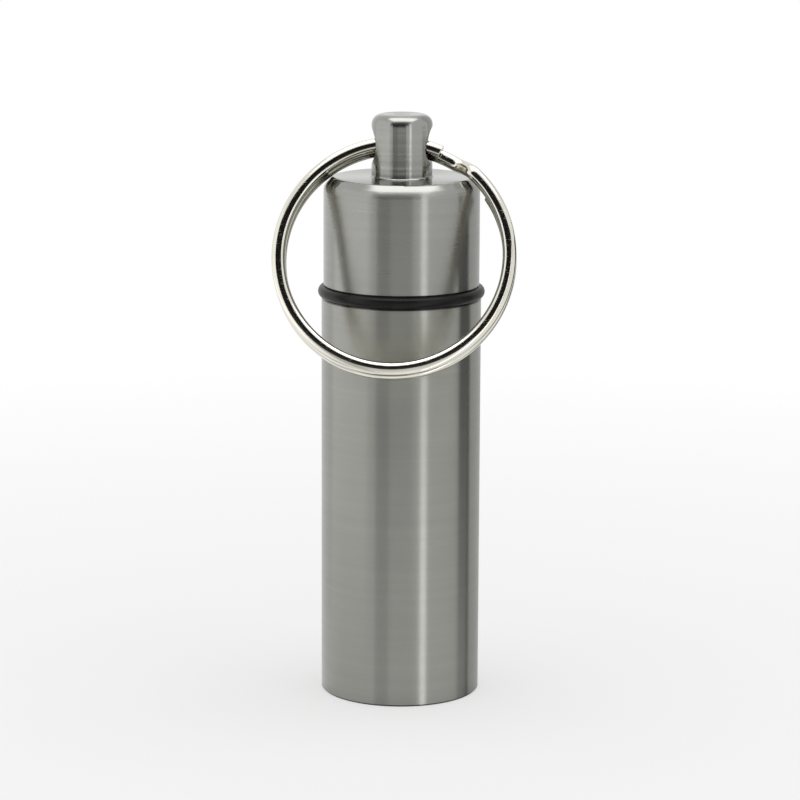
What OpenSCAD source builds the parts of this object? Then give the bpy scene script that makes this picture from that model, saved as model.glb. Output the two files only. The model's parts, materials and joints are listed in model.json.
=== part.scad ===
// Pill fob keychain: a turned canister, a screw cap with a drilled knob, a seal and a split ring.
// Millimetres, +Z up. The origin is the centre of the canister's base, and -Y faces the viewer.

/* [Canister] */
// Outside diameter of the canister
body_d = 14; // [13:0.1:18]
// Height of the canister from its base to its rim
canister_h = 35.3; // [28:0.05:70]
// Wall beside the chamber
chamber_wall = 1.7; // [1.5:0.05:2.4]
// Wall behind the canister's thread
mouth_wall = 0.95; // [0.7:0.05:1.2]
// Thickness of the floor
floor_t = 1.2; // [0.8:0.1:3]
// Radius of the corner between the floor and the chamber's wall
chamber_corner_r = 0.8; // [0.3:0.1:1.5]
// Bevel round the base
base_bevel = 0.15; // [0.05:0.05:0.5]
// Bevel round the outside of the rim
rim_bevel = 0.1; // [0.05:0.05:0.4]
// Bevel round the inside of the mouth
mouth_bevel = 0.3; // [0.1:0.05:0.5]

/* [Cap] */
// How far the cap's side lies inside the canister's side
cap_inset = 0.17; // [0:0.01:0.4]
// Height of the cap from its lower edge to its flat top
cap_h = 9.52; // [7:0.02:16]
// Width of the bevel that makes the cap's shoulder
shoulder_bevel = 0.76; // [0.4:0.01:1.2]
// Radius of the shoulder's lower edge
shoulder_low_r = 0.9; // [0.1:0.05:1.2]
// Radius of the shoulder's upper edge
shoulder_top_r = 0.3; // [0.05:0.05:0.6]
// Bevel round the cap's lower edge
cap_bevel = 0.1; // [0.05:0.05:0.4]
// Thickness of metal left above the hollow in the cap
cap_top_t = 2.4; // [1.5:0.1:4]

/* [Thread] */
// Depth of the thread's ridges on the plug and in the mouth
thread_depth = 0.6; // [0.4:0.05:0.7]
// Radial play between a ridge and the root that it runs in
thread_play = 0.05; // [0.03:0.01:0.1]
// Length of the cap's plug below the canister's rim
plug_l = 5.55; // [4:0.05:8]
// Depth of the wide, threaded part of the mouth below the plug's end
mouth_extra = 0.6; // [0.3:0.1:2]
// Wall of the hollow plug under its thread
plug_wall = 1.15; // [0.8:0.05:1.5]
// Bevel round the plug's end
plug_bevel = 0.35; // [0.1:0.05:0.5]

/* [Seal] */
// Diameter of the seal's cord before it is squeezed
seal_cord_d = 1.2; // [1:0.05:2]
// Share of the cord's diameter that the screwed cap squeezes out
seal_squeeze = 0.12; // [0.05:0.01:0.25]
// How far the squeezed seal stands out past the canister's wall
seal_proud = 0.31; // [0.05:0.01:0.6]
// Play between the seal and each metal face next to it
seal_play = 0.02; // [0.01:0.01:0.05]

/* [Knob] */
// Diameter of the knob
knob_d = 5.32; // [5.1:0.02:5.8]
// Height of the knob above the cap's flat top
knob_h = 5.46; // [5.2:0.01:8]
// Radius of the knob's rounded top edge
knob_top_r = 0.9; // [0.3:0.05:1.2]
// Radius of the small corner where the knob meets the cap
knob_foot_r = 0.2; // [0.1:0.05:0.4]
// Height of the hole's centre above the cap's flat top
hole_rise = 2.76; // [2.4:0.01:3.1]
// How much wider the hole is than the ring's two coils side by side
hole_play = 0.76; // [0.65:0.01:1]
// How far the hole's mouth opens out at the knob's surface
hole_flare = 0.15; // [0.05:0.01:0.25]
// Angle between the hole and the X axis, with its right mouth turned to the viewer
hole_turn = 5; // [0:0.5:6]

/* [Split ring] */
// Outside diameter of the ring, measured across
ring_d = 21.09; // [19.5:0.01:30]
// Height of the ring divided by its width, a little over 1 where it has been sprung open
ring_oval = 1.023; // [1:0.001:1.03]
// Width of the wire along the ring's radius
wire_w = 1.2; // [1:0.02:1.4]
// Thickness of the wire along the ring's axis
wire_t = 1.16; // [0.9:0.01:1.2]
// Slit between the two coils
coil_slit = 0.04; // [0.03:0.01:0.08]
// Squareness of the wire's section, where 2 is an ellipse
wire_square = 2.4; // [2:0.1:4]
// Angle on the ring at which the front coil's cut end lies, from the right
front_end_angle = 67.5; // [60:0.5:80]
// Angle on the ring at which the back coil's cut end lies, from the right
back_end_angle = 35.4; // [20:0.2:50]
// Part of the way between the two ends that stays level beside the back coil's end
back_rest = 0.38; // [0.15:0.01:0.45]
// Part of the way between the two ends that stays level beside the front coil's end
front_rest = 0.23; // [0.15:0.01:0.3]
// How far the ring has slid to the left through the hole
ring_slip = 0.365; // [0:0.005:1]
// Height of the wire's centre under the hole's centre
ring_sag = 0.11; // [0:0.01:0.2]
// Angle between the ring and the X axis, with its right side turned to the viewer
ring_turn = 3.4; // [0:0.1:4]
// Room between the resting ring and the cap's shoulder
rest_gap = 0.03; // [0.03:0.01:0.3]

/* [Hidden] */

$fn = 128;
cut = 0.01;
two_coils = 2;

body_r = body_d / 2;
chamber_r = body_r - chamber_wall;
mouth_r = body_r - mouth_wall;
mouth_l = plug_l + mouth_extra;

seal_h = seal_cord_d * (1 - seal_squeeze);
seal_w = seal_cord_d * seal_cord_d / seal_h;
seal_out_r = body_r + seal_proud;
seal_in_r = seal_out_r - seal_w;
neck_r = seal_in_r - seal_play;

cap_r = body_r - cap_inset;
cap_z = canister_h + seal_h + two_coils * seal_play;
cap_top_z = cap_z + cap_h;
// The two rounded edges meet the shoulder's bevel, so each turns through half a right angle
edge_turn = 45;
edge_share = tan(edge_turn / 2);
shoulder_low_z = cap_top_z - shoulder_bevel - shoulder_low_r * edge_share;
shoulder_top_x = cap_r - shoulder_bevel - shoulder_top_r * edge_share;
plug_r = mouth_r - thread_play - thread_depth;
plug_z = canister_h - plug_l;
hollow_r = plug_r - plug_wall;

knob_r = knob_d / 2;
hole_z = cap_top_z + hole_rise;
hole_r = (two_coils * wire_t + coil_slit + hole_play) / 2;
// The hole's mouths open out from where its sides come through the knob
mouth_x = sqrt(knob_r * knob_r - hole_r * hole_r) - hole_flare;
mouth_depth = knob_r - mouth_x;

ring_r = ring_d / 2 - wire_w / 2;
coil_step = wire_t + coil_slit;
turn = 360;
wire_start = front_end_angle;
wire_stop = back_end_angle + two_coils * turn;
climb_span = front_end_angle - back_end_angle;
climb_from = turn + back_end_angle + back_rest * climb_span;
climb_to = turn + front_end_angle - front_rest * climb_span;

// Stations along the wire and points round its section
wire_steps = 150;
section_steps = 16;
// Coarser steps, used only to find where the ring comes to rest
probe_steps = 170;
probe_section = 12;
search_halvings = 12;
lean_least = 2;
lean_most = 88;

// A smooth climb from 0 to 1
function eased(x) = let (t = min(1, max(0, x))) t * t * (3 - 2 * t);

// Height of the wire's centre over the ring's middle plane, at an angle along the wire
function coil_level(a) = coil_step / 2 - coil_step * eased((a - climb_from) / (climb_to - climb_from));

// Signed power, which squares the wire's section
function squared(x) = sign(x) * pow(abs(x), 2 / wire_square);

// A point of the wire's skin on the flat ring: across, up and along the ring's axis
function flat_point(a, q) =
    let (
        across = ring_oval * cos(a),
        upward = sin(a),
        size = norm([across, upward]),
        proud = wire_w / 2 * squared(cos(q)),
        thick = wire_t / 2 * squared(sin(q))
    )
    [
        ring_r * cos(a) + proud * across / size,
        ring_r * ring_oval * sin(a) + proud * upward / size,
        coil_level(a) + thick
    ];

// The same point on the ring as it hangs in the knob, leaning towards the viewer
function hung_point(p, lean) =
    let (
        across = p[0] - ring_slip,
        drop = p[1] - ring_r * ring_oval,
        forward = -drop * sin(lean) + p[2] * cos(lean)
    )
    [
        across * cos(ring_turn) - forward * sin(ring_turn),
        -across * sin(ring_turn) - forward * cos(ring_turn),
        hole_z - ring_sag + drop * cos(lean) + p[2] * sin(lean)
    ];

// Gap between a point and a round solid with a rounded top edge
function disc_gap(p, r, top_z, edge_r) =
    let (
        out = norm([p[0], p[1]]) - (r - edge_r),
        above = p[2] - (top_z - edge_r)
    )
    norm([max(out, 0), max(above, 0)]) + min(max(out, above), 0) - edge_r;

// Gap between a point and the cap's shoulder, on its bevel and on both of its rounded edges
function shoulder_gap(p) =
    let (
        out = norm([p[0], p[1]]) - cap_r,
        above = p[2] - (cap_top_z - shoulder_bevel),
        up_the_bevel = (above - out) / sqrt(2),
        bevel_from = shoulder_low_r * edge_share,
        bevel_to = shoulder_bevel * sqrt(2) - shoulder_top_r * edge_share,
        beside = up_the_bevel > bevel_from && up_the_bevel < bevel_to
    )
    min(
        beside ? (out + above) / sqrt(2) : cap_h,
        disc_gap(p, cap_r, shoulder_low_z + shoulder_low_r, shoulder_low_r),
        disc_gap(p, shoulder_top_x + shoulder_top_r, cap_top_z, shoulder_top_r)
    );

function ring_gap(lean) = min([
    for (i = [0 : probe_steps])
        for (j = [0 : probe_section - 1])
            let (
                a = wire_start + (wire_stop - wire_start) * i / probe_steps,
                p = hung_point(flat_point(a, turn * j / probe_section), lean)
            )
            min(shoulder_gap(p), disc_gap(p, body_r, canister_h, 0))
]);

// The ring drops until it meets the cap's shoulder or the canister's wall
function lean_between(low, high, halvings) =
    let (middle = (low + high) / 2)
    halvings == 0 ? high
    : ring_gap(middle) < rest_gap ? lean_between(middle, high, halvings - 1)
    : lean_between(low, middle, halvings - 1);

// Half outline of a turned disc, with bevelled or rounded edges
module disc_outline(r, h, foot_bevel = 0, top_bevel = 0, top_round = 0) {
    difference() {
        square([r, h]);
        if (foot_bevel > 0)
            translate([r, 0])
                rotate(45)
                    square(foot_bevel * sqrt(2), center = true);
        if (top_bevel > 0)
            translate([r, h])
                rotate(45)
                    square(top_bevel * sqrt(2), center = true);
        if (top_round > 0)
            translate([r - top_round, h - top_round])
                difference() {
                    square(top_round + cut);
                    circle(top_round);
                }
    }
}

// What rounding an edge takes off, as seen from the middle of its arc
module edge_sliver(r, from) {
    rotate(from)
        difference() {
            polygon([
                [0, 0],
                [r + cut, 0],
                [r + cut, (r + cut) * edge_share],
                [(r + cut) * cos(edge_turn), (r + cut) * sin(edge_turn)]
            ]);
            circle(r);
        }
}

// The cap's outline, with a bevelled shoulder between two rounded edges
module cap_outline() {
    difference() {
        disc_outline(cap_r, cap_h, foot_bevel = cap_bevel, top_bevel = shoulder_bevel);
        translate([cap_r - shoulder_low_r, shoulder_low_z - cap_z])
            edge_sliver(shoulder_low_r, 0);
        translate([shoulder_top_x, cap_h - shoulder_top_r])
            edge_sliver(shoulder_top_r, edge_turn);
    }
}

// The chamber's outline, with a rounded corner at the floor
module chamber_outline() {
    translate([0, floor_t + chamber_corner_r])
        square([chamber_r, canister_h]);
    translate([0, floor_t])
        square([chamber_r - chamber_corner_r, canister_h]);
    translate([chamber_r - chamber_corner_r, floor_t + chamber_corner_r])
        circle(chamber_corner_r);
}

module canister() {
    color([0.60, 0.60, 0.59])
        difference() {
            rotate_extrude()
                disc_outline(body_r, canister_h, foot_bevel = base_bevel, top_bevel = rim_bevel);
            rotate_extrude()
                chamber_outline();
            translate([0, 0, canister_h - mouth_l])
                cylinder(r = mouth_r, h = mouth_l + cut);
            translate([0, 0, canister_h - mouth_bevel])
                cylinder(r1 = mouth_r, r2 = mouth_r + mouth_bevel + cut, h = mouth_bevel + cut);
        }
}

// The cap's own body, from its lower edge to its flat top
module cap_body() {
    translate([0, 0, cap_z])
        rotate_extrude()
            cap_outline();
}

// The neck that carries the seal, and the plug under it that carries the thread
module cap_plug() {
    translate([0, 0, canister_h - mouth_bevel])
        cylinder(r = neck_r, h = cap_z - canister_h + mouth_bevel + cut);
    translate([0, 0, plug_z])
        difference() {
            cylinder(r = plug_r, h = plug_l);
            rotate_extrude()
                translate([plug_r, 0])
                    rotate(45)
                        square(plug_bevel * sqrt(2), center = true);
        }
}

module knob() {
    translate([0, 0, cap_top_z - cut])
        rotate_extrude()
            disc_outline(knob_r, knob_h + cut, top_round = knob_top_r);
    translate([0, 0, cap_top_z - cut])
        rotate_extrude()
            difference() {
                square([knob_r + knob_foot_r, knob_foot_r + cut]);
                translate([knob_r + knob_foot_r, knob_foot_r + cut / 2])
                    circle(knob_foot_r);
            }
}

// The hole across the knob, with mouths that open out a little
module cross_hole() {
    translate([0, 0, hole_z])
        rotate([0, 90, -hole_turn]) {
            cylinder(r = hole_r, h = two_coils * knob_d, center = true);
            for (flip = [0, turn / 2])
                rotate([flip, 0, 0])
                    translate([0, 0, mouth_x])
                        cylinder(r1 = hole_r, r2 = hole_r + two_coils * hole_flare, h = two_coils * mouth_depth);
        }
}

module cap() {
    color([0.62, 0.62, 0.61])
        difference() {
            union() {
                cap_body();
                cap_plug();
                knob();
            }
            translate([0, 0, plug_z - cut])
                cylinder(r = hollow_r, h = cap_top_z - cap_top_t - plug_z + cut);
            cross_hole();
        }
}

// The squeezed cord's section: flat where it meets the cap and the rim
module seal_outline() {
    end_r = seal_h / 2;
    for (x = [seal_in_r + end_r, seal_out_r - end_r])
        translate([x, 0])
            circle(end_r);
    translate([seal_in_r + end_r, -end_r])
        square([seal_w - seal_h, seal_h]);
}

module o_ring() {
    color([0.08, 0.08, 0.08])
        translate([0, 0, (canister_h + cap_z) / 2])
            rotate_extrude()
                seal_outline();
}

// Two coils of one wire, cut at both ends, which crosses from one coil to the other
module split_ring() {
    lean = lean_between(lean_least, lean_most, search_halvings);
    points = [
        for (i = [0 : wire_steps])
            for (j = [0 : section_steps - 1])
                let (a = wire_start + (wire_stop - wire_start) * i / wire_steps)
                hung_point(flat_point(a, turn * j / section_steps), lean)
    ];
    last = wire_steps * section_steps;
    faces = concat(
        [[for (j = [section_steps - 1 : -1 : 0]) j]],
        [[for (j = [0 : section_steps - 1]) last + j]],
        [
            for (i = [0 : wire_steps - 1])
                for (j = [0 : section_steps - 1])
                    let (
                        k = (j + 1) % section_steps,
                        here = i * section_steps,
                        next = here + section_steps
                    )
                    [here + j, here + k, next + k, next + j]
        ]
    );
    echo(ring_leans_by = lean);
    color([0.82, 0.81, 0.77])
        polyhedron(points, faces, convexity = 6);
}

canister();
cap();
o_ring();
split_ring();
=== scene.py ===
"""Looks of a pill fob keychain: turned canister and cap, seal, bright split ring and screw threads."""
import json
import math

import bmesh
import bpy
from mathutils import Matrix, Vector


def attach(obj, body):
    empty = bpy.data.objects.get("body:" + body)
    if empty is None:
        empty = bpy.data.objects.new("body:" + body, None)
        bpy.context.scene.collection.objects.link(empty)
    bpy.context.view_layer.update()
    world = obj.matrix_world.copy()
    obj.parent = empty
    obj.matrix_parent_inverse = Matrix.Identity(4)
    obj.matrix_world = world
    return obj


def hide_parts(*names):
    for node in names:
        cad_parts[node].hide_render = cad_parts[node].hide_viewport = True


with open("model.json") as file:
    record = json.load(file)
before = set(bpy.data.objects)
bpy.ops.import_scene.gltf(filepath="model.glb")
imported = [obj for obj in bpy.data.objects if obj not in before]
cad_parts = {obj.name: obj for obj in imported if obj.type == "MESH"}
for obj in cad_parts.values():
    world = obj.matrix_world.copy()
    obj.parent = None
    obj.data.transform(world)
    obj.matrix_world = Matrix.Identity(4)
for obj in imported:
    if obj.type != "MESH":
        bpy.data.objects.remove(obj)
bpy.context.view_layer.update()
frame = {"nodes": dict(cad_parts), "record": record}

MM = 0.001
TURN = 2 * math.pi

# The split ring in millimetres, with the sizes of its solid
WIRE_WIDE = 1.20
WIRE_THICK = 1.16
WIRE_GIRTH = 3.7
WIRE_SQUARENESS = 2.4
WIRE_END_BEVEL = 0.07
COIL_SLIT = 0.04
RING_ACROSS = 21.09
RING_OVAL = 1.023
SECTION_POINTS = 40
RING_STEPS_PER_TURN = 240

# Where the wire's ends are cut, and the shares of the arc between them that stay level beside the climb
FRONT_END_DEG = 67.5
BACK_END_DEG = 35.4
BACK_REST = 0.38
FRONT_REST = 0.23

# The screw in millimetres. The roots and heights are those of the solids, and the ridges are only here
MOUTH_ROOT_R = 6.05
PLUG_ROOT_R = 5.40
RIM_Z = 35.30
PLUG_LENGTH = 5.55
PLUG_END_Z = RIM_Z - PLUG_LENGTH
PLUG_THREAD_Z = (PLUG_END_Z + 0.3, RIM_Z - 0.4)
MOUTH_THREAD_Z = (PLUG_END_Z - 0.2, RIM_Z - 0.3)
THREAD_PITCH = 1.0
THREAD_HEIGHT = 0.53
THREAD_SUNK = 0.03
THREAD_CREST = 0.12
THREAD_FLANK_DEG = 30.0
THREAD_STEPS_PER_TURN = 72
FADE_TURNS = 0.3
FADE_AHEAD_TURNS = 0.4
FADED_HEIGHT = 0.02

# Heights on the cap in millimetres. It is satin up to its shoulder's edge and polished above that
POLISH_FROM_Z = 45.08
POLISH_FULL_Z = 45.65
KNOB_FROM_Z = 46.10
KNOB_FULL_Z = KNOB_FROM_Z + 0.15
KNOB_FOOT_TOP_Z = KNOB_FROM_Z + 1.2
KNOB_TOP_Z = 50.60

# How uneven the turned metal is: changes of roughness, shares of colour, and depths in millimetres
GRAIN_ROUGHNESS = 0.03
SMUDGE_ROUGHNESS = 0.03
SCRATCH_COLOUR_SHARE = 0.25
SCRATCH_DEPTH = 0.002
KNOB_FOOT_ROUGHNESS_SHARE = 0.35
KNOB_STREAK_ROUGHNESS = 0.08
KNOB_STREAK_SHARE = 0.005
KNOB_STREAK_DEPTH = 0.0015

# The camera in millimetres, degrees and pixels, from a fit to the photograph
CAMERA_X, CAMERA_Y, CAMERA_Z = -0.08, -284.35, 83.14
CAMERA_PITCH_DEG = 11.35
CAMERA_ROLL_DEG = 0.25
CAMERA_FOCAL_PX = 3287.0
FRAME_PX = 800
SENSOR_MM = 36.0


# Helpers for meshes

def clear_selection():
    if bpy.context.object and bpy.context.object.mode != "OBJECT":
        bpy.ops.object.mode_set(mode="OBJECT")
    bpy.ops.object.select_all(action="DESELECT")


def section_piece(points):
    """Starts a piece as a closed outline with its corners at the given places, in millimetres."""
    clear_selection()
    bpy.ops.mesh.primitive_circle_add(vertices=len(points), radius=1, fill_type="NOTHING")
    piece = bpy.context.object
    for vertex, place in zip(piece.data.vertices, points):
        vertex.co = place
    return piece


def close_ends(mesh, end_bevel=None):
    """Fills the open ends of a swept section, bevels them if a width is given, and turns faces outward."""
    built = bmesh.new()
    built.from_mesh(mesh)
    bmesh.ops.holes_fill(built, edges=[e for e in built.edges if e.is_boundary], sides=0)
    if end_bevel:
        ends = [f for f in built.faces if len(f.verts) > 4]
        rims = [e for f in ends for e in f.edges]
        bmesh.ops.bevel(built, geom=rims, offset=end_bevel, segments=3, profile=0.6, affect="EDGES")
    bmesh.ops.recalc_face_normals(built, faces=built.faces)
    built.to_mesh(mesh)
    built.free()


def dress(mesh, material):
    mesh.materials.clear()
    mesh.materials.append(material)


def finish_piece(piece, name, body, smooth_deg):
    """Names a modelled piece, bakes its place into its mesh, smooths it and hangs it on its body."""
    clear_selection()
    piece.select_set(True)
    bpy.context.view_layer.objects.active = piece
    bpy.ops.object.transform_apply(location=True, rotation=True, scale=True)
    bpy.ops.object.shade_smooth_by_angle(angle=math.radians(smooth_deg))
    piece.name = piece.data.name = name
    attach(piece, body)


def eased(x):
    t = min(1.0, max(0.0, x))
    return t * t * (3 - 2 * t)


# Helpers for node trees

class Tree:
    """A short hand for building node trees. Any value may be a number or another node's output."""

    def __init__(self, tree):
        self.tree = tree

    def add(self, kind, **settings):
        node = self.tree.nodes.new(kind)
        for key, value in settings.items():
            setattr(node, key, value)
        return node

    def link(self, source, target):
        self.tree.links.new(source, target)

    def feed(self, target, value):
        if isinstance(value, bpy.types.NodeSocket):
            self.link(value, target)
        else:
            target.default_value = value

    def fill(self, node, **values):
        """Feeds a node's inputs by their names, with _ for a space."""
        for name, value in values.items():
            self.feed(node.inputs[name.replace("_", " ")], value)
        return node

    def math(self, operation, a, b=0.0, c=0.0):
        node = self.add("ShaderNodeMath", operation=operation)
        for socket, value in zip(node.inputs, (a, b, c)):
            self.feed(socket, value)
        return node.outputs[0]

    def vector(self, operation, a, b=(0.0, 0.0, 0.0)):
        node = self.add("ShaderNodeVectorMath", operation=operation)
        self.feed(node.inputs[0], a)
        self.feed(node.inputs[1], b)
        return node.outputs["Value"] if operation == "LENGTH" else node.outputs[0]

    def scaled(self, vector, factor):
        node = self.add("ShaderNodeVectorMath", operation="SCALE")
        self.feed(node.inputs[0], vector)
        self.feed(node.inputs["Scale"], factor)
        return node.outputs[0]

    def parts(self, vector):
        node = self.add("ShaderNodeSeparateXYZ")
        self.feed(node.inputs[0], vector)
        return node.outputs

    def mapped(self, vector, **values):
        return self.fill(self.add("ShaderNodeMapping"), Vector=vector, **values).outputs[0]

    def mix(self, factor, a, b, blend="MIX"):
        node = self.add("ShaderNodeMix", data_type="RGBA", blend_type=blend)
        # Several sockets of this node share a name, and these numbers are the colour ones
        for index, value in ((0, factor), (6, a), (7, b)):
            self.feed(node.inputs[index], value)
        return node.outputs[2]

    def spread(self, value, low, high, to_low=0.0, to_high=1.0):
        node = self.add("ShaderNodeMapRange", clamp=True)
        self.fill(node, Value=value, From_Min=low, From_Max=high, To_Min=to_low, To_Max=to_high)
        return node.outputs["Result"]

    def noise(self, vector, scale, detail=2.0, roughness=0.5, w=None):
        node = self.add("ShaderNodeTexNoise", noise_dimensions="4D" if w is not None else "3D")
        self.fill(node, Vector=vector, Scale=scale, Detail=detail, Roughness=roughness)
        if w is not None:
            self.feed(node.inputs["W"], w)
        return node.outputs["Fac"]

    def group(self, group, **values):
        return self.fill(self.add("ShaderNodeGroup", node_tree=group), **values).outputs

    def surface(self, shader):
        self.link(shader, self.add("ShaderNodeOutputMaterial").inputs["Surface"])


FLOAT, VECTOR = "NodeSocketFloat", "NodeSocketVector"


def new_group(name, inputs, outputs):
    """A shader node group. Inputs are (name, kind, default) and outputs are names of numbers."""
    group = bpy.data.node_groups.new(name, "ShaderNodeTree")
    for label, kind, default in inputs:
        socket = group.interface.new_socket(name=label, in_out="INPUT", socket_type=kind)
        if default is not None:
            socket.default_value = default
    for label in outputs:
        group.interface.new_socket(name=label, in_out="OUTPUT", socket_type=FLOAT)
    tree = Tree(group)
    return tree, tree.add("NodeGroupInput").outputs, tree.add("NodeGroupOutput").inputs


def new_material(name):
    """A material with its Principled shader, and the object's own place in millimetres."""
    material = bpy.data.materials.new(name)
    material.use_nodes = True
    tree = Tree(material.node_tree)
    place = tree.add("ShaderNodeTexCoord").outputs["Object"]
    in_mm = tree.mapped(place, Scale=(1 / MM,) * 3)
    return material, tree, material.node_tree.nodes["Principled BSDF"], in_mm


def bare_material(name):
    """A material with an empty node tree, for what stands round the fob."""
    material = bpy.data.materials.new(name)
    material.use_nodes = True
    material.node_tree.nodes.clear()
    return material, Tree(material.node_tree)


def bump(tree, shader, layers):
    """Stacks bumps, each a (height, depth in mm) pair."""
    normal = None
    for height, depth in layers:
        node = tree.fill(tree.add("ShaderNodeBump"), Strength=1.0, Distance=depth * MM, Height=height)
        if normal is not None:
            tree.link(normal, node.inputs["Normal"])
        normal = node.outputs[0]
    tree.link(normal, shader.inputs["Normal"])


# Shared effects

def turned_marks_group():
    """Marks of the lathe's tool round the Z axis, on sides and faces alike. Sizes in millimetres."""
    tree, given, out = new_group(
        "turned_marks",
        [("Place", VECTOR, None), ("Marks per mm", FLOAT, 9.0), ("Run", FLOAT, 0.25)],
        ["Height", "Bands", "Streaks"],
    )
    band_scale = 0.11
    streak_scale = 0.4
    place = tree.parts(given["Place"])
    flat = tree.fill(tree.add("ShaderNodeCombineXYZ"), X=place["X"], Y=place["Y"]).outputs[0]
    outward = tree.math("MULTIPLY", tree.vector("LENGTH", flat), given["Marks per mm"])
    around = tree.scaled(tree.vector("NORMALIZE", flat), given["Run"])
    risen = tree.math("MULTIPLY", place["Z"], given["Marks per mm"])
    rise = tree.fill(tree.add("ShaderNodeCombineXYZ"), Z=risen).outputs[0]
    along = tree.vector("ADD", around, rise)
    fine = tree.noise(along, 1.0, detail=3.0, roughness=0.65, w=outward)
    bands = tree.noise(tree.scaled(along, band_scale), 1.0, detail=1.0,
                       w=tree.math("MULTIPLY", outward, band_scale))
    streaks = tree.noise(tree.scaled(along, streak_scale), 1.0, detail=2.0,
                         w=tree.math("MULTIPLY", outward, streak_scale))
    tree.link(fine, out["Height"])
    tree.link(bands, out["Bands"])
    tree.link(streaks, out["Streaks"])
    return tree.tree


def handling_group():
    """Fine scratches and soft smudges that a fob gathers in a pocket. Sizes in millimetres."""
    tree, given, out = new_group(
        "handling",
        [("Place", VECTOR, None), ("Scratch amount", FLOAT, 0.5), ("Smudge size", FLOAT, 3.0)],
        ["Scratches", "Smudges"],
    )
    scratches = 0.0
    for turn, scale, seed in ((0.5, 0.35, 3.1), (2.2, 0.5, 17.7), (1.2, 0.42, 41.3)):
        drawn_out = tree.mapped(
            given["Place"],
            Location=(seed, seed * 2, seed * 3),
            Rotation=(turn, turn * 0.7, turn * 1.3),
            Scale=(scale, 14.0, 14.0),
        )
        thin = tree.spread(tree.noise(drawn_out, 1.0, detail=1.0), 0.70, 0.76)
        scratches = tree.math("MAXIMUM", scratches, thin)
    tree.link(tree.math("MULTIPLY", scratches, given["Scratch amount"]), out["Scratches"])
    smudged = tree.scaled(given["Place"], tree.math("DIVIDE", 1.0, given["Smudge size"]))
    tree.link(tree.noise(smudged, 1.0, detail=3.0, roughness=0.55), out["Smudges"])
    return tree.tree


TURNED_MARKS = turned_marks_group()
HANDLING = handling_group()


# Materials of the pieces

def turned_metal(name, colour, light_colour, roughness, marks_per_mm, mark_depth, streak_share,
                 polished=None, knob=None):
    """Satin turned metal with a titanium-grey finish. Its gloss is drawn out across the tool's marks.
    The polished roughness, and the knob's pair for its foot and its top, hold above their own heights."""
    material, tree, shader, place = new_material(name)
    marks = tree.group(TURNED_MARKS, Place=place, Marks_per_mm=marks_per_mm, Run=0.3)
    handling = tree.group(HANDLING, Place=place, Scratch_amount=0.35, Smudge_size=4.0)
    height = tree.parts(place)["Z"]
    on_top = tree.spread(height, POLISH_FROM_Z, POLISH_FULL_Z) if polished else 0.0
    on_knob = tree.spread(height, KNOB_FROM_Z, KNOB_FULL_Z) if knob else 0.0
    streak = tree.spread(marks["Streaks"], 0.3, 0.7, -1.0, 1.0)

    banded = tree.mix(tree.spread(marks["Bands"], 0.35, 0.65), colour, light_colour)
    scratch_share = tree.math("MULTIPLY", handling["Scratches"], SCRATCH_COLOUR_SHARE)
    scratched = tree.mix(scratch_share, banded, light_colour)
    share = tree.math("MULTIPLY_ADD", on_knob, KNOB_STREAK_SHARE, streak_share)
    lighter = tree.math("MULTIPLY_ADD", streak, share, 1.0)
    shade = tree.fill(tree.add("ShaderNodeCombineXYZ"), X=lighter, Y=lighter, Z=lighter).outputs[0]
    streaked = tree.mix(1.0, scratched, shade, blend="MULTIPLY")

    satin_rough = tree.spread(marks["Height"], 0.35, 0.65,
                              roughness - GRAIN_ROUGHNESS, roughness + GRAIN_ROUGHNESS)
    rough = tree.math("ADD", satin_rough, tree.spread(handling["Smudges"], 0.4, 0.7, 0.0, SMUDGE_ROUGHNESS))
    if polished:
        rough = tree.spread(on_top, 0.0, 1.0, rough, polished)
    if knob:
        risen = tree.spread(height, KNOB_FROM_Z, KNOB_TOP_Z, *knob)
        at_foot = tree.spread(height, KNOB_FROM_Z, KNOB_FOOT_TOP_Z, KNOB_FOOT_ROUGHNESS_SHARE, 1.0)
        even = tree.math("MULTIPLY", risen, at_foot)
        knob_rough = tree.math("MULTIPLY_ADD", streak, KNOB_STREAK_ROUGHNESS, even)
        rough = tree.spread(on_knob, 0.0, 1.0, rough, knob_rough)

    along_marks = tree.vector("CROSS_PRODUCT", (0.0, 0.0, 1.0), place)
    tree.fill(shader, Base_Color=streaked, Metallic=1.0, Roughness=rough, Anisotropic=1.0,
              Anisotropic_Rotation=0.25, Tangent=tree.vector("NORMALIZE", along_marks))
    knob_streaks = tree.math("MULTIPLY", marks["Streaks"], on_knob)
    bump(tree, shader, (
        (marks["Height"], mark_depth),
        (knob_streaks, KNOB_STREAK_DEPTH),
        (handling["Scratches"], -SCRATCH_DEPTH),
    ))
    return material


def seal_rubber():
    """Black rubber with a fine skin and a faint grey bloom."""
    material, tree, shader, place = new_material("seal_rubber")
    skin = tree.noise(place, 7.0, detail=4.0, roughness=0.6)
    bloom = tree.noise(place, 0.6, detail=3.0)
    colour = tree.mix(tree.spread(bloom, 0.45, 0.75), (0.007, 0.007, 0.007, 1), (0.02, 0.019, 0.018, 1))
    rough = tree.spread(skin, 0.3, 0.7, 0.28, 0.42)
    tree.fill(shader, Base_Color=colour, Roughness=rough, Specular_IOR_Level=0.2)
    bump(tree, shader, ((skin, 0.004),))
    return material


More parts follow.
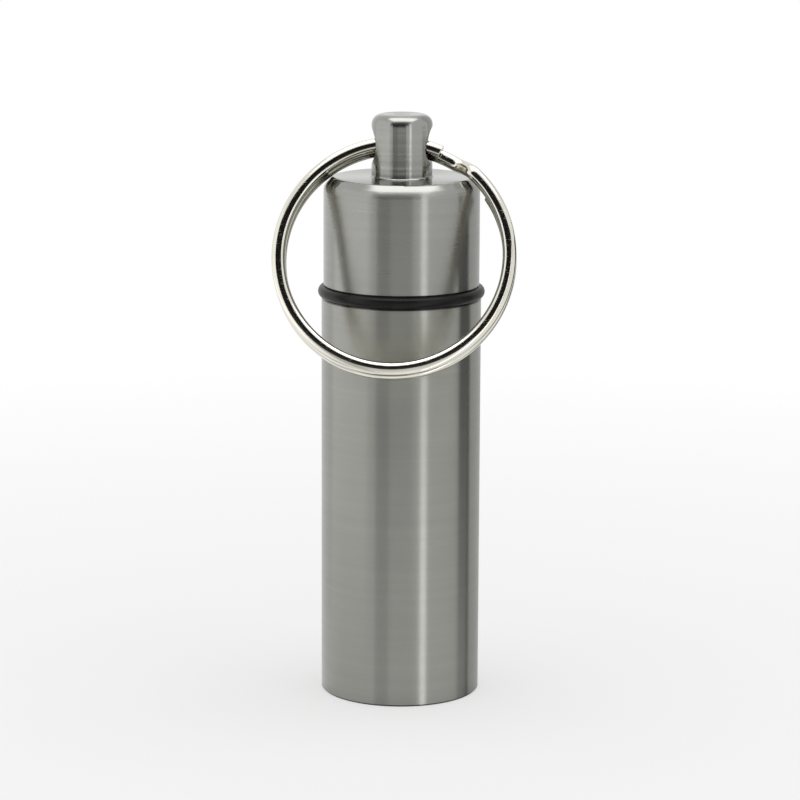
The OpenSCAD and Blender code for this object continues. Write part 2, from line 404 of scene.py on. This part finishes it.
def bright_nickel():
    """Bright nickel plate over drawn wire. The drawing lines follow the wire by its own map."""
    material, tree, shader, place = new_material("bright_nickel")
    wire_map = tree.add("ShaderNodeUVMap", uv_map="along_wire").outputs[0]
    lines = tree.noise(tree.mapped(wire_map, Scale=(0.25, 9.0, 1.0)), 1.0, detail=2.0)
    handling = tree.group(HANDLING, Place=place, Scratch_amount=0.8, Smudge_size=2.5)
    yellowed = tree.spread(handling["Smudges"], 0.35, 0.7)
    tint = tree.mix(yellowed, (0.79, 0.765, 0.69, 1), (0.72, 0.69, 0.60, 1))
    worn = tree.math("MULTIPLY_ADD", handling["Scratches"], 0.14, 0.07)
    rough = tree.math("ADD", worn, tree.spread(lines, 0.4, 0.7, 0.0, 0.05))
    tree.fill(shader, Base_Color=tint, Metallic=1.0, Roughness=rough)
    bump(tree, shader, ((lines, 0.0012), (handling["Scratches"], -0.0015)))
    return material


# The modelled pieces

def wire_section():
    """Corners of the wire's flattened section, standing in the XZ plane about its own centre."""
    corners = []
    for k in range(SECTION_POINTS):
        a = TURN * k / SECTION_POINTS
        x, z = (math.copysign(abs(f) ** (2 / WIRE_SQUARENESS), f) for f in (math.cos(a), math.sin(a)))
        corners.append((x * WIRE_WIDE / 2, 0, z * WIRE_THICK / 2))
    return corners


def map_along_wire(mesh, step_mm):
    """Lays out the spun wire by its length and its girth, both in millimetres."""
    along_wire = mesh.uv_layers.new(name="along_wire")
    for polygon in mesh.polygons:
        columns = [mesh.loops[i].vertex_index % SECTION_POINTS for i in polygon.loop_indices]
        wraps = max(columns) - min(columns) > 1
        for i, column in zip(polygon.loop_indices, columns):
            step = mesh.loops[i].vertex_index // SECTION_POINTS
            if wraps and column == 0:
                column = SECTION_POINTS
            along_wire.data[i].uv = (step * step_mm, column / SECTION_POINTS * WIRE_GIRTH)


def split_ring_piece():
    """Two coils of one flattened wire, spun from its section, which cross from front to back."""
    sweep = math.radians(BACK_END_DEG - FRONT_END_DEG) + 2 * TURN
    steps = round(sweep / TURN * RING_STEPS_PER_TURN)
    centre_r = (RING_ACROSS - WIRE_WIDE) / 2
    coil_step = WIRE_THICK + COIL_SLIT
    span = FRONT_END_DEG - BACK_END_DEG
    climb_from = 360 + BACK_END_DEG + BACK_REST * span
    climb_to = 360 + FRONT_END_DEG - FRONT_REST * span

    piece = section_piece([(centre_r + x, y, z) for x, y, z in wire_section()])
    mesh = piece.data
    mesh.transform(Matrix.Rotation(math.radians(FRONT_END_DEG), 4, "Z"))
    bpy.ops.object.mode_set(mode="EDIT")
    bpy.ops.mesh.select_all(action="SELECT")
    bpy.ops.mesh.spin(steps=steps, angle=sweep, center=(0, 0, 0), axis=(0, 0, 1))
    bpy.ops.object.mode_set(mode="OBJECT")

    assert len(mesh.vertices) == SECTION_POINTS * (steps + 1), len(mesh.vertices)
    for vertex in mesh.vertices:
        step = vertex.index // SECTION_POINTS
        angle_deg = FRONT_END_DEG + math.degrees(sweep) * step / steps
        level = coil_step / 2 - coil_step * eased((angle_deg - climb_from) / (climb_to - climb_from))
        angle = math.radians(angle_deg)
        proud = math.hypot(vertex.co.x, vertex.co.y) - centre_r
        across, upward = RING_OVAL * math.cos(angle), math.sin(angle)
        size = math.hypot(across, upward)
        vertex.co = (
            centre_r * math.cos(angle) + proud * across / size,
            centre_r * RING_OVAL * math.sin(angle) + proud * upward / size,
            vertex.co.z + level,
        )
    map_along_wire(mesh, centre_r * sweep / steps)
    close_ends(mesh, WIRE_END_BEVEL)

    loop = next(m for m in frame["record"]["mounts"] if m["name"] == "split_ring_loop")
    normal = Vector(loop["axis"]).normalized()
    upward = (Vector((0, 0, 1)) - normal * normal.z).normalized()
    across = upward.cross(normal)
    turn = Matrix((across, upward, normal)).transposed().to_4x4()
    mesh.transform(Matrix.Translation(Vector(loop["pos_m"])) @ turn @ Matrix.Scale(MM, 4))
    dress(mesh, bright_nickel())
    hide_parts("split_ring")
    finish_piece(piece, "key_ring_wire", "ring", smooth_deg=35)


def thread_piece(name, body, slot, root_r, crest_r, low_z, high_z, phase_turns, material):
    """A right-hand thread's ridge, screwed from its section, that fades out at both ends."""
    outward = 1 if crest_r > root_r else -1
    half_crest = THREAD_CREST / 2
    half_root = half_crest + THREAD_HEIGHT * math.tan(math.radians(THREAD_FLANK_DEG))
    sunk_r = root_r - outward * THREAD_SUNK
    turns = (high_z - low_z - 2 * half_root) / THREAD_PITCH
    start_z = low_z + half_root
    outline = ((sunk_r, -half_root), (root_r, -half_root), (crest_r, -half_crest),
               (crest_r, half_crest), (root_r, half_root), (sunk_r, half_root))

    piece = section_piece([(r, 0, z) for r, z in outline])
    screw = piece.modifiers.new("Screw", "SCREW")
    screw.axis = "Z"
    screw.angle = TURN * turns
    screw.screw_offset = THREAD_PITCH * turns
    screw.steps = screw.render_steps = round(THREAD_STEPS_PER_TURN * turns)
    screw.use_merge_vertices = False
    bpy.ops.object.modifier_apply(modifier=screw.name)

    mesh = piece.data
    for vertex in mesh.vertices:
        r = math.hypot(vertex.co.x, vertex.co.y)
        gone = vertex.co.z / THREAD_PITCH
        left = turns - gone
        fade_in = eased((gone + FADE_AHEAD_TURNS) / FADE_TURNS)
        fade_out = eased((left + FADE_AHEAD_TURNS) / FADE_TURNS)
        target = sunk_r + (r - sunk_r) * max(fade_in * fade_out, FADED_HEIGHT)
        vertex.co.x *= target / r
        vertex.co.y *= target / r
        vertex.co.z += start_z
    mesh.transform(Matrix.Rotation(TURN * phase_turns, 4, "Z"))
    close_ends(mesh)
    mesh.transform(Matrix.Scale(MM, 4))
    dress(mesh, material)
    finish_piece(piece, name, body, smooth_deg=25)


# What stands round the fob

def floor_material(near_share, near, far):
    """Matt white paper. The share of plain white in what the camera sees grows away from the fob."""
    material, tree = bare_material("white_paper")
    place = tree.add("ShaderNodeTexCoord").outputs["Object"]
    away = tree.math("MULTIPLY", tree.vector("LENGTH", place), 1 / MM)
    share = tree.spread(away, near, far, near_share, 1.0)
    path = tree.add("ShaderNodeLightPath").outputs
    seen = tree.math("MAXIMUM", path["Is Camera Ray"], path["Is Transmission Ray"])
    both = tree.add("ShaderNodeMixShader")
    tree.link(tree.math("MULTIPLY", seen, share), both.inputs[0])
    matt = tree.fill(tree.add("ShaderNodeBsdfDiffuse"), Color=(0.93, 0.93, 0.93, 1))
    tree.link(matt.outputs[0], both.inputs[1])
    tree.link(tree.add("ShaderNodeEmission").outputs[0], both.inputs[2])
    tree.surface(both.outputs[0])
    return material


def floor_plane():
    """The floor keeps the fob's shadow. Metal doesn't show it, so the cards reach down to the fob's base."""
    clear_selection()
    bpy.ops.mesh.primitive_plane_add(size=8)
    floor = bpy.context.object
    floor.name = "floor"
    floor.data.materials.append(floor_material(near_share=0.5, near=30, far=150))
    floor.visible_glossy = False


def studio_world(diffuse_strength, gloss_strength):
    """A white surround that is pure white to the camera, with its own strengths for light and for gloss."""
    world = bpy.data.worlds.new("white_studio")
    bpy.context.scene.world = world
    world.use_nodes = True
    tree = Tree(world.node_tree)
    path = tree.add("ShaderNodeLightPath").outputs
    seen = tree.math("MAXIMUM", path["Is Camera Ray"], path["Is Transmission Ray"])
    strength = tree.math("MULTIPLY_ADD", seen, 1 - diffuse_strength, diffuse_strength)
    mirrored = tree.math("MULTIPLY", path["Is Glossy Ray"], gloss_strength - diffuse_strength)
    tree.fill(world.node_tree.nodes["Background"], Color=(1, 1, 1, 1),
              Strength=tree.math("ADD", strength, mirrored))


def softbox(name, place, target, wide, tall, radiance):
    """An area lamp given by the brightness of its face, which is what metal shows of it."""
    data = bpy.data.lights.new(name, "AREA")
    data.shape = "RECTANGLE"
    data.size, data.size_y = wide * MM, tall * MM
    data.energy = radiance * math.pi * data.size * data.size_y
    lamp = bpy.data.objects.new(name, data)
    bpy.context.scene.collection.objects.link(lamp)
    lamp.location = place
    lamp.rotation_mode = "QUATERNION"
    lamp.rotation_quaternion = (target - place).to_track_quat("-Z", "Y")
    lamp.visible_camera = False


def stage_card(card, name, brightness, top_brightness):
    """Makes an object a glowing card that only the metal's gloss can see, as if it stood beside the set."""
    card.name = name
    material, tree = bare_material(name)
    height = tree.parts(tree.add("ShaderNodeTexCoord").outputs["Object"])["Y"]
    glow = tree.fill(tree.add("ShaderNodeEmission"),
                     Strength=tree.spread(height, -0.5, 0.5, brightness, top_brightness))
    tree.surface(glow.outputs[0])
    card.data.materials.append(material)
    for ray in ("camera", "diffuse", "transmission", "volume_scatter", "shadow"):
        setattr(card, "visible_" + ray, False)


def studio_card(name, azimuth_deg, distance, low, high, wide, brightness, top_brightness=None):
    """An upright card. Azimuth 0 is at the viewer's side and 90 at the right.
    Its brightness can change from its lower edge to its top."""
    clear_selection()
    bpy.ops.mesh.primitive_plane_add(size=1)
    card = bpy.context.object
    azimuth = math.radians(azimuth_deg)
    card.scale = (wide * MM, (high - low) * MM, 1)
    place = Vector((distance * math.sin(azimuth), -distance * math.cos(azimuth), (low + high) / 2))
    card.location = place * MM
    card.rotation_euler = (math.radians(90), 0, azimuth)
    stage_card(card, name, brightness, brightness if top_brightness is None else top_brightness)


def shade_disc(name, radius, level, brightness):
    """A black disc right under the fob, painted shade put where the floor's contact shadow lies, which the
    turned edge of its base shows as a dark reflection.
    """
    clear_selection()
    bpy.ops.mesh.primitive_circle_add(vertices=64, radius=radius * MM, fill_type="NGON",
                                      location=(0, 0, level * MM))
    stage_card(bpy.context.object, name, brightness, brightness)


def main_camera():
    data = bpy.data.cameras.new("camera")
    data.sensor_width = SENSOR_MM
    data.lens = CAMERA_FOCAL_PX * SENSOR_MM / FRAME_PX
    data.clip_start, data.clip_end = 0.01, 20
    camera = bpy.data.objects.new("camera", data)
    bpy.context.scene.collection.objects.link(camera)
    camera.location = Vector((CAMERA_X, CAMERA_Y, CAMERA_Z)) * MM
    look = Matrix.Rotation(math.radians(90 - CAMERA_PITCH_DEG), 4, "X")
    roll = Matrix.Rotation(math.radians(CAMERA_ROLL_DEG), 4, "Z")
    camera.rotation_euler = (look @ roll).to_euler()
    bpy.context.scene.camera = camera


# The fob

CANISTER_METAL = turned_metal(
    "canister_metal", (0.306, 0.309, 0.283, 1), (0.316, 0.319, 0.292, 1),
    roughness=0.31, marks_per_mm=9.0, mark_depth=0.0012, streak_share=0.012,
)
CAP_METAL = turned_metal(
    "cap_metal", (0.320, 0.323, 0.301, 1), (0.332, 0.335, 0.313, 1),
    roughness=0.29, marks_per_mm=10.0, mark_depth=0.0013, streak_share=0.010,
    polished=0.14, knob=(0.26, 0.16),
)
for node, material in (("canister", CANISTER_METAL), ("cap", CAP_METAL), ("o_ring", seal_rubber())):
    dress(frame["nodes"][node].data, material)
split_ring_piece()
thread_piece("plug_thread", "cap", "cap_metal", PLUG_ROOT_R, PLUG_ROOT_R + THREAD_HEIGHT,
             *PLUG_THREAD_Z, 0.0, CAP_METAL)
thread_piece("mouth_thread", "canister", "canister_metal", MOUTH_ROOT_R, MOUTH_ROOT_R - THREAD_HEIGHT,
             *MOUTH_THREAD_Z, 0.5, CANISTER_METAL)

# The studio. Each card gives azimuth, distance, lower edge, top, width, and brightness below and at the top
studio_world(0.5, 0.95)
floor_plane()
softbox("top_softbox", Vector((19, -5, 400)) * MM, Vector((19, -5, 0)) * MM, 390, 310, 1.9)
for card in (
    ("left_white", -80, 220, 30, 260, 300, 1.13),
    ("left_white_low", -80, 60, -60, 40, 76, 0.4, 1.45),
    ("front_grey", -9.5, 60, -60, 50, 56, 1.15, 0.6),
    ("front_darker_grey", -25.5, 55, -55, 49, 18, 0.9, 0.45),
    ("front_black_middle", -9.5, 59, 50, 72, 56, 0.03),
    ("front_black_high", -5, 150, 95, 240, 260, 0.012),
    ("right_grey", 138, 220, -140, 260, 220, 0.7),
    ("strip_white", 31.5, 45, -40, 75, 6.5, 2.7, 1.4),
    ("right_dark", 90, 22, -20, 46, 8, 0.78, 0.02),
    ("right_line", 96, 18, -20, 46, 1.6, 0.0),
):
    studio_card(*card)
# Painted shade: a black disc under the base, which its turned edge reflects as a dark line
shade_disc("painted_base_shade", radius=8.5, level=-1.0, brightness=0.0)
main_camera()

bpy.context.scene.view_settings.view_transform = "Standard"
